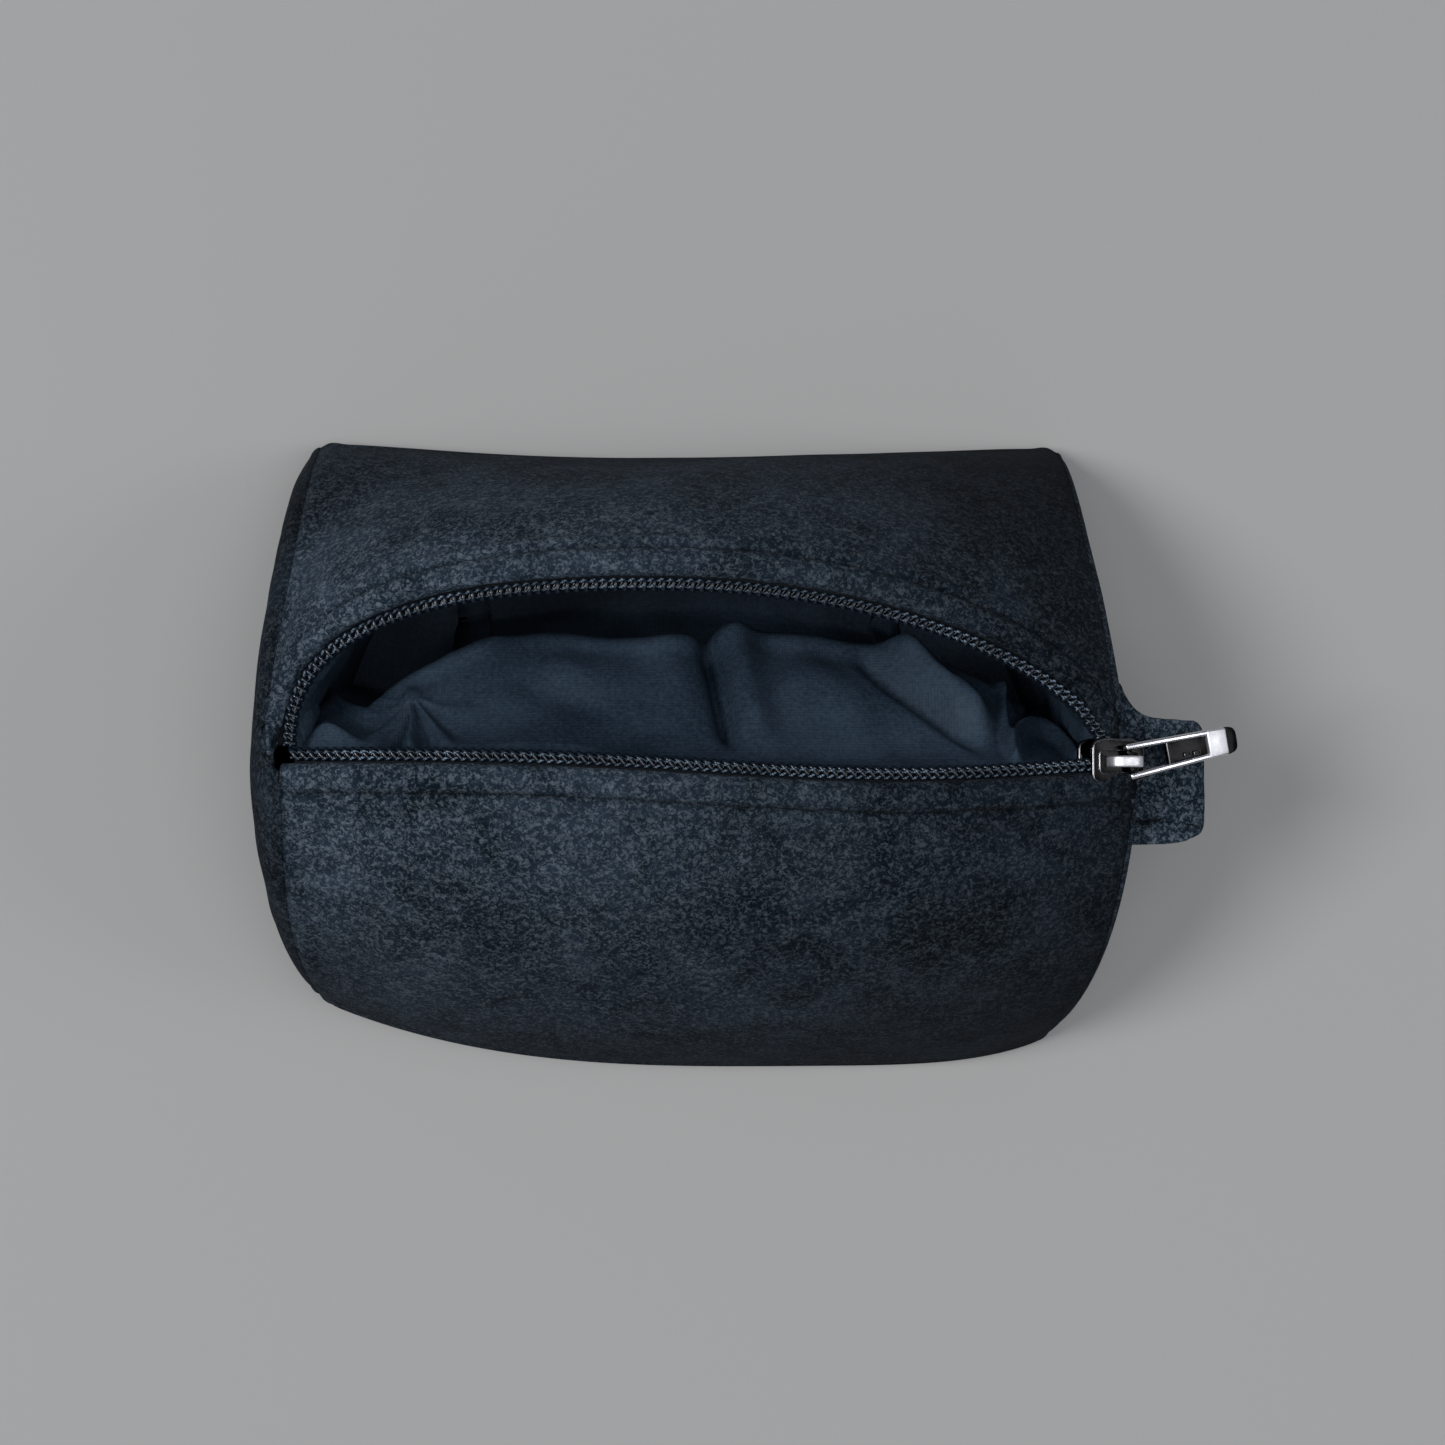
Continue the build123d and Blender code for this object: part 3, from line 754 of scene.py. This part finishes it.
def rounded(corners, radii, steps=5):
    """An outline with rounded corners: each corner is cut back along both its edges by its radius."""
    points = [Vector(c) for c in corners]
    outline = []
    for k, p in enumerate(points):
        before, after, r = points[k - 1], points[(k + 1) % len(points)], radii[k]
        a = p + (before - p).normalized() * r
        b = p + (after - p).normalized() * r
        for t in np.linspace(0, 1, steps) if r else [0.5]:
            outline.append(tuple(a * (1 - t) ** 2 + p * 2 * t * (1 - t) + b * t ** 2))
    return outline


def rod(start, end, radius):
    """A round bar between two points. Sizes in mm."""
    ends = np.array([start, end], float) * MM
    line = ends[0] + (ends[1] - ends[0]) * np.linspace(0, 1, 5)[:, None]
    return tube_mesh("rod", line, radius * MM, sides=16)


SLIDER_TURN = math.atan2(PIN.x, PIN.z - ARCH_Z) - math.atan2(PIN_X, PIN.z - ARCH_Z)
ONTO_ARCH = (
    Matrix.Translation((0, ZIP_Y, ARCH_Z))
    @ Matrix.Rotation(SLIDER_TURN, 4, "Y")
    @ Matrix.Translation((0, 0, ARCH_RADIUS))
)
PULL_YAW = math.radians(11)
PIN_HEIGHT = 3.6 * MM        # the pin's axis above the middle of the coils
PULL_FRAME = ONTO_ARCH @ Matrix.Translation((PIN_X, 0, PIN_HEIGHT)) @ Matrix.Rotation(PULL_YAW, 4, "Z")


def moved(obj, matrix):
    obj.data.transform(matrix)
    return obj


def slider_metal():
    """Two plates with side flanges, a neck between the rows and a crowned top, in the slider's frame."""
    half = [(-5.2, -3.4), (-2.6, -4.1), (3.0, -3.8), (5.2, -3.1)]
    radii = [1.2, 0.9, 0.9, 1.1]
    shape = rounded(half + [(x, -y) for x, y in half[::-1]], radii + radii[::-1])
    crown = rounded([(-4.0, -2.2), (3.9, -1.9), (3.9, 1.9), (-4.0, 2.2)], [1.0] * 4)
    divider = [(-4.9, 0.35), (-3.4, 0.3), (0.4, 0.35), (0.4, 0.95), (-3.4, 1.8), (-4.9, 1.2)]
    pieces = [
        plate(shape, 1.45, 2.35, 0.32),
        plate(crown, 2.30, 2.62, 0.22),
        plate(shape, -3.05, -2.1, 0.3),
        plate(divider, -2.3, 1.6, 0.12),
    ]
    for side in (-1, 1):
        low, high = sorted((side * 3.35, side * 3.95))
        pieces.append(plate([(-2.6, low), (3.6, low), (3.6, high), (-2.6, high)], -0.75, 1.7, 0.15))
    return moved(join("slider_metal", pieces), ONTO_ARCH)


def bridge_metal():
    """The low arch on the slider that holds the pull."""
    line = []
    for a in np.linspace(math.pi, 0, 22):
        x = math.copysign(abs(math.cos(a)) ** 0.55, math.cos(a)) * 2.75
        z = 2.5 + 2.75 * math.sin(a) ** 0.55
        line.append((0.6 + x, 0, z))
    line = evenly(np.array([(line[0][0], 0, 2.0)] + line + [(line[-1][0], 0, 2.0)]), 40) * MM
    along = directions(line)
    out = np.stack([-along[:, 2], np.zeros(len(line)), along[:, 0]], 1)
    ring = rounded([(-0.95, -0.42), (0.95, -0.42), (0.95, 0.42), (-0.95, 0.42)], [0.3] * 4, 4)
    points = np.array([line + np.array([0, y * MM, 0]) + out * z * MM for y, z in ring]).transpose(1, 0, 2)
    obj = capped(grid_mesh("bridge_metal", points, wrap=True), len(ring))
    return moved(obj, ONTO_ARCH)


def pull_rails():
    """The two rails of the pull, tapering from the pin to the tip, pale as painted highlights."""
    pieces = []
    for side in (-1, 1):
        rail = [(-0.7, side * 3.05), (-0.7, side * 2.05), (20.2, side * 1.4), (20.2, side * 2.4)]
        pieces.append(plate(rail if side < 0 else rail[::-1], -0.6, 0.8, 0.34))
    return moved(join("pull_rails", pieces), PULL_FRAME)


def pull_metal():
    """The middle of the pull: its pin, an open window, a crossbar and a sunk plate with two studs."""
    pieces = [rod((0, -2.75, 0), (0, 2.75, 0), 0.6)]
    pieces.append(plate([(7.6, -2.2), (16.5, -1.9), (16.5, 1.9), (7.6, 2.2)], -0.62, 0.05, 0.15))
    pieces.append(plate([(7.4, -2.3), (8.3, -2.3), (8.3, 2.3), (7.4, 2.3)], -0.6, 0.5, 0.22))
    for x, y in ((11.4, -0.9), (13.4, -1.0)):
        stud = [(x - 0.7, y - 0.4), (x + 0.7, y - 0.4), (x + 0.7, y + 0.4), (x - 0.7, y + 0.4)]
        pieces.append(plate(rounded(stud, [0.3] * 4), 0.0, 0.42, 0.14))
    return moved(join("pull_metal", pieces), PULL_FRAME)


def pull_block():
    """The raised block near the end of the pull, pale as a painted highlight."""
    corners = [(15.7, -2.42), (19.6, -2.3), (19.6, 2.3), (15.7, 2.42)]
    return moved(plate(corners, -0.66, 0.95, 0.3), PULL_FRAME)


def pull_tip():
    """The rounded tip at the end of the pull, in a darker copy of the plating as painted shade."""
    shape = rounded([(19.3, -2.4), (21.6, -2.2), (21.6, 2.2), (19.3, 2.4)], [0.2, 1.5, 1.5, 0.2])
    return moved(plate(shape, -0.68, 0.85, 0.4), PULL_FRAME)


# ---------------------------------------------------------------- materials

CLOTH_DARK = (0.0036, 0.0078, 0.0130, 1)
CLOTH_MID = (0.0130, 0.0215, 0.0330, 1)
CLOTH_PALE = (0.062, 0.079, 0.099, 1)
LINT = (0.20, 0.21, 0.22, 1)
LINING_DARK = (0.0115, 0.0210, 0.0345, 1)
LINING_PALE = (0.0315, 0.0500, 0.0765, 1)


def node_tree(name):
    """A new material with its node tree, its shader and the object's own coordinates."""
    material = bpy.data.materials.new(name)
    material.use_nodes = True
    tree = material.node_tree
    tree.nodes.clear()
    shader = tree.nodes.new("ShaderNodeBsdfPrincipled")
    output = tree.nodes.new("ShaderNodeOutputMaterial")
    tree.links.new(shader.outputs[0], output.inputs[0])
    where = tree.nodes.new("ShaderNodeTexCoord").outputs["Object"]
    return material, tree, shader, where


def plug(tree, node, inputs):
    """Give each input of a node, by its name or number, a value or a link."""
    for key, value in inputs.items():
        if isinstance(value, bpy.types.NodeSocket):
            tree.links.new(value, node.inputs[key])
        else:
            node.inputs[key].default_value = value


def add(tree, kind, inputs, **settings):
    node = tree.nodes.new(kind)
    for key, value in settings.items():
        setattr(node, key, value)
    plug(tree, node, inputs)
    return node


def noise(tree, where, scale, detail=3.0, rough=0.55, distortion=0.0):
    values = {"Vector": where, "Scale": scale, "Detail": detail, "Roughness": rough}
    return add(tree, "ShaderNodeTexNoise", values | {"Distortion": distortion}).outputs["Fac"]


def ramp(tree, value, low, high, start=0.0, end=1.0):
    """Map a value from start..end onto low..high, clamped."""
    values = {"Value": value, "From Min": start, "From Max": end, "To Min": low, "To Max": high}
    return add(tree, "ShaderNodeMapRange", values).outputs["Result"]


def mix_colour(tree, factor, a, b):
    return add(tree, "ShaderNodeMix", {0: factor, 6: a, 7: b}, data_type="RGBA").outputs[2]


def math_node(tree, operation, a, b):
    return add(tree, "ShaderNodeMath", {0: a, 1: b}, operation=operation).outputs[0]


def times(tree, a, b):
    return math_node(tree, "MULTIPLY", a, b)


def shared(tree, a, b, share):
    """A sum of two patterns, where share is the first one's part of it."""
    return math_node(tree, "ADD", times(tree, a, share), times(tree, b, 1 - share))


def wave(tree, where, scale, distortion, direction):
    """Fine parallel bands, as of yarns."""
    values = {"Vector": where, "Scale": scale, "Distortion": distortion}
    return add(tree, "ShaderNodeTexWave", values, bands_direction=direction).outputs["Fac"]


def bump(tree, shader, height, strength, distance):
    values = {"Height": height, "Strength": strength, "Distance": distance}
    plug(tree, shader, {"Normal": add(tree, "ShaderNodeBump", values).outputs[0]})


def napped_cloth(name, left, right, base=0.48):
    """Soft brushed black cloth: a fine curly grain, broad rubbed patches and a little lint.

    left and right scale its colour at the two ends of the bag, as painted light from the left and painted
    shade towards the slider's end, and base scales it down by the base, as painted shade.
    """
    material, tree, shader, where = node_tree(name)
    fuzz = noise(tree, where, 1450, 3, 0.62, 0.9)
    clump = noise(tree, where, 620, 4, 0.68, 0.6)
    patch = noise(tree, where, 85, 4, 0.62, 0.8)
    broad = noise(tree, where, 28, 3, 0.55)
    grain = shared(tree, fuzz, clump, 0.68)
    rubbed = shared(tree, patch, broad, 0.6)
    ground = mix_colour(tree, ramp(tree, rubbed, 0, 1, 0.40, 0.60), CLOTH_DARK, CLOTH_MID)
    colour = mix_colour(tree, ramp(tree, grain, 0, 1, 0.47, 0.61), ground, CLOTH_PALE)
    place_in_bag = add(tree, "ShaderNodeSeparateXYZ", {"Vector": where})
    # painted light and shade: brighter at the left end, darker towards the right end as the key light falls
    # from the left, and darker down to the base
    painted_light_by_length = ramp(tree, place_in_bag.outputs["X"], left, right, -0.07, 0.07)
    painted_shade_by_height = ramp(tree, place_in_bag.outputs["Z"], base, 1, 0.018, 0.064)
    shade = times(tree, painted_light_by_length, painted_shade_by_height)
    shade = times(tree, shade, ramp(tree, rubbed, 0.78, 1.22, 0.38, 0.62))
    # painted shade from the marked channels, creases and seams darkens the colour
    lines = add(tree, "ShaderNodeAttribute", {}, attribute_name="painted_shade_line").outputs["Fac"]
    shade = times(tree, shade, math_node(tree, "SUBTRACT", 1.0, lines))
    colour = add(tree, "ShaderNodeVectorMath", {0: colour, "Scale": shade}, operation="SCALE").outputs[0]
    specks = add(tree, "ShaderNodeTexVoronoi", {"Vector": where, "Scale": 130.0, "Randomness": 1.0})
    chosen = math_node(tree, "GREATER_THAN", specks.outputs["Color"], 0.975)
    near = math_node(tree, "LESS_THAN", specks.outputs["Distance"], 0.06)
    lint = times(tree, times(tree, chosen, near), 0.6)
    colour = mix_colour(tree, lint, colour, LINT)
    rough = ramp(tree, grain, 0.82, 1.0, 0.35, 0.65)
    plug(tree, shader, {"Base Color": colour, "Roughness": rough, "Specular IOR Level": 0.03})
    plug(tree, shader, {"Sheen Weight": 0.02, "Sheen Roughness": 0.45, "Sheen Tint": (0.75, 0.85, 1.0, 1)})
    bump(tree, shader, grain, 0.9, 0.0007)
    return material


def lining_cloth():
    """Smooth blue-black lining with a fine plain weave."""
    material, tree, shader, where = node_tree("lining_cloth")
    weave = times(tree, wave(tree, where, 620.0, 0.5, "X"), wave(tree, where, 620.0, 0.5, "Y"))
    cloudy = noise(tree, where, 45, 3, 0.5)
    fine = noise(tree, where, 1300, 3, 0.6)
    mixed = shared(tree, cloudy, fine, 0.55)
    colour = mix_colour(tree, ramp(tree, mixed, 0, 1, 0.38, 0.62), LINING_DARK, LINING_PALE)
    rough = ramp(tree, fine, 0.52, 0.68, 0.3, 0.7)
    plug(tree, shader, {"Base Color": colour, "Roughness": rough, "Specular IOR Level": 0.12})
    bump(tree, shader, math_node(tree, "ADD", weave, times(tree, fine, 0.8)), 0.25, 0.0002)
    return material


def woven_tape():
    """Black ribbed tape."""
    material, tree, shader, where = node_tree("zipper_tape")
    ribs = wave(tree, where, 330.0, 0.8, "X")
    fine = noise(tree, where, 1800, 3, 0.6)
    colour = mix_colour(tree, fine, (0.002, 0.003, 0.005, 1), (0.009, 0.012, 0.018, 1))
    rough = ramp(tree, fine, 0.75, 0.95)
    plug(tree, shader, {"Base Color": colour, "Roughness": rough, "Specular IOR Level": 0.2})
    bump(tree, shader, math_node(tree, "ADD", ribs, fine), 0.4, 0.0002)
    return material


def nylon():
    """Black nylon coil, half glossy, a little scuffed."""
    material, tree, shader, where = node_tree("nylon_coil")
    scuff = noise(tree, where, 700, 3, 0.6)
    colour = mix_colour(tree, scuff, (0.001, 0.003, 0.007, 1), (0.007, 0.013, 0.023, 1))
    plug(tree, shader, {"Base Color": colour, "Roughness": ramp(tree, scuff, 0.16, 0.30, 0.3, 0.7)})
    bump(tree, shader, scuff, 0.1, 0.0001)
    return material


def thread():
    """Black twisted thread, with painted highlights along its twist, in patches."""
    material, tree, shader, where = node_tree("sewing_thread")
    twist = wave(tree, where, 900.0, 1.0, "DIAGONAL")
    fuzz = noise(tree, where, 2200, 2, 0.6)
    # painted highlight: pale blue-white colour along the twist, in patches
    highlight_patches = ramp(tree, noise(tree, where, 75, 2, 0.5), 0.25, 1.0, 0.42, 0.66)
    painted_highlight = times(tree, twist, highlight_patches)
    colour = mix_colour(tree, painted_highlight, (0.003, 0.008, 0.016, 1), (0.21, 0.30, 0.40, 1))
    plug(tree, shader, {"Base Color": colour, "Roughness": ramp(tree, fuzz, 0.35, 0.6)})
    bump(tree, shader, twist, 0.4, 0.0001)
    return material


def plated(name, dark, pale, rough):
    """Plated zinc, glossy, with fine scratches."""
    material, tree, shader, where = node_tree(name)
    stretched = add(tree, "ShaderNodeMapping", {"Vector": where, "Scale": (0.15, 1.0, 1.0)}).outputs[0]
    scratch = noise(tree, stretched, 2600, 3, 0.65)
    cloudy = noise(tree, where, 240, 2, 0.5)
    colour = mix_colour(tree, cloudy, (dark, dark, dark * 1.06, 1), (pale, pale, pale * 1.06, 1))
    worn = ramp(tree, scratch, rough, rough + 0.12, 0.35, 0.7)
    plug(tree, shader, {"Base Color": colour, "Roughness": worn, "Metallic": 1.0})
    bump(tree, shader, scratch, 0.06, 0.0001)
    return material


def floor_paint():
    material, tree, shader, where = node_tree("pale_floor")
    faint = noise(tree, where, 3, 2, 0.5)
    colour = mix_colour(tree, faint, (0.352, 0.352, 0.352, 1), (0.362, 0.362, 0.362, 1))
    plug(tree, shader, {"Base Color": colour, "Roughness": 0.95, "Specular IOR Level": 0.1})
    return material


def paint(obj, material, edges=None):
    """Give a piece its material, and its bevelled edges another."""
    slots = [p.material_index if edges else 0 for p in obj.data.polygons]
    obj.data.materials.clear()
    obj.data.materials.append(material)
    if edges:
        obj.data.materials.append(edges)
    obj.data.polygons.foreach_set("material_index", slots)


# ---------------------------------------------------------------- assembly

def place(obj, material, slot, body, *replaced, edges=None):
    """Give a piece its material, the nodes that it stands for and the body that it moves with; slot is not
    used.
    """
    paint(obj, material, edges)
    if replaced:
        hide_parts(*replaced)
    if body == "closing":
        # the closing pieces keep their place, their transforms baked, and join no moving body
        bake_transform(obj)
    else:
        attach(obj, body)
    return obj


# painted light at the left end, painted shade towards the right end and the base
cloth = napped_cloth("napped_cloth", 1.62, 0.40)
lining = lining_cloth()
tape_cloth = woven_tape()
nylon_black = nylon()
black_thread = thread()
metal = plated("gunmetal", 0.005, 0.014, 0.14)
# painted highlight: a pale copy of the plating for the bevelled edges
edge_highlight_metal = plated("painted_highlight_edges", 0.02, 0.30, 0.16)
# painted highlight: a pale copy of the plating for the pull's rails
rail_highlight_metal = plated("painted_highlight_rails", 0.60, 0.85, 0.22)
# painted highlight: a pale copy of the plating for the slider's bridge and the pull's end block
highlight_plating_metal = plated("painted_highlight_plating", 0.70, 0.85, 0.42)
# painted shade: a darker copy of the plating for the pull's tip
shaded_tip_metal = plated("painted_shade_tip", 0.004, 0.008, 0.14)
# painted light and shade: evenly toned copies of the cloth, brighter for the tab, darker for the two ends
tab_painted_light_nap = napped_cloth("tab_cloth", 1.55, 1.55, 1.0)
left_end_painted_shade_nap = napped_cloth("left_end_painted_shade", 0.62, 0.62, 0.65)
right_end_painted_shade_nap = napped_cloth("right_end_painted_shade", 0.8, 0.8, 0.65)

front_cloth = place(outer_wall(-1), cloth, "outer_cloth", "root", "front_outer_panel", "front_interlining")
back_cloth = place(outer_wall(1), cloth, "outer_cloth", "closing", "back_outer_panel", "back_interlining")
left_cloth = place(end_panel(-1), left_end_painted_shade_nap, "outer_cloth", "closing", "left_end_panel")
right_cloth = place(end_panel(1), right_end_painted_shade_nap, "outer_cloth", "closing", "right_end_panel")
base_cloth = place(base_panel(), cloth, "outer_cloth", "closing", "base_outer_panel", "base_interlining")
tab_cloth = place(tab(), tab_painted_light_nap, "outer_cloth", "root", "side_tab_loop")
body_lining = place(
    lining_run(), lining, "lining_cloth", "closing", "front_lining", "back_lining", "base_lining"
)
left_lining = place(lining_end(-1), lining, "lining_cloth", "closing", "left_end_lining")
right_lining = place(lining_end(1), lining, "lining_cloth", "closing", "right_end_lining")
front_stitches = place(stitches(-1), black_thread, "thread", "root", "front_topstitching")
back_stitches = place(stitches(1), black_thread, "thread", "closing", "back_topstitching")

rows = (("front", front_row_line(1200), -1, "root"), ("back", back_row_line(1400), 1, "closing"))
for name, line, side, body in rows:
    place(coil(f"{name}_coil", line, side), nylon_black, "zipper_coil", body, f"{name}_zipper_coil")
    strip = tape(f"{name}_tape", line, side)
    place(strip, tape_cloth, "zipper_tape", body, f"{name}_zipper_tape")
    place(coil_threads(f"{name}_coil_threads", line, side), black_thread, "thread", body)

place(slider_metal(), metal, "slider_metal", "slider", "slider_body", edges=edge_highlight_metal)
place(bridge_metal(), highlight_plating_metal, "slider_metal", "slider", "slider_bridge")
place(pull_metal(), metal, "slider_metal", "pull", "slider_pull", edges=edge_highlight_metal)
place(pull_rails(), rail_highlight_metal, "slider_metal", "pull", edges=rail_highlight_metal)
place(pull_block(), highlight_plating_metal, "slider_metal", "pull")
place(pull_tip(), shaded_tip_metal, "slider_metal", "pull")

# ---------------------------------------------------------------- stage, light and camera

bpy.ops.mesh.primitive_plane_add(size=3.0, location=(0, 0, 0))
floor = bpy.context.active_object
floor.name = "floor"
paint(floor, floor_paint())


def area_light(name, place_at, target, size, power):
    """A round soft light that points at its target."""
    light = bpy.data.lights.new(name, "AREA")
    light.shape = "DISK"
    light.size = size
    light.energy = power
    obj = bpy.data.objects.new(name, light)
    bpy.context.scene.collection.objects.link(obj)
    obj.location = place_at
    obj.rotation_euler = (Vector(target) - Vector(place_at)).to_track_quat("-Z", "Y").to_euler()


area_light("key", (-1.15, 0.06, 1.50), (0, 0, 0.03), 0.70, 20.0)
area_light("overhead", (0.10, -0.05, 1.6), (0, 0, 0), 1.2, 9.5)
area_light("front_card", (0.15, -0.70, 0.26), (0.08, 0, 0.05), 0.6, 0.3)
area_light("right_card", (0.95, 0.02, 0.76), (0.07, 0, 0.05), 0.5, 2.2)

world = bpy.data.worlds.new("studio")
world.use_nodes = True
background = world.node_tree.nodes["Background"]
background.inputs["Color"].default_value = (0.80, 0.85, 0.95, 1)
background.inputs["Strength"].default_value = 0.16
bpy.context.scene.world = world
bpy.context.scene.view_settings.view_transform = "Standard"

camera = bpy.data.cameras.new("camera")
camera.sensor_width = 36
camera.lens = 64.9
eye = bpy.data.objects.new("camera", camera)
bpy.context.scene.collection.objects.link(eye)
EYE = Vector((-0.0256, -0.0067, 0.500))  # almost straight above the bag
look = Vector((0.0641, 0.0267, -1.0)).normalized()
right = look.cross(Vector((0, 1, 0))).normalized()
upward = right.cross(look)
eye.matrix_world = Matrix.Translation(EYE) @ Matrix((right, upward, -look)).transposed().to_4x4()
bpy.context.scene.camera = eye
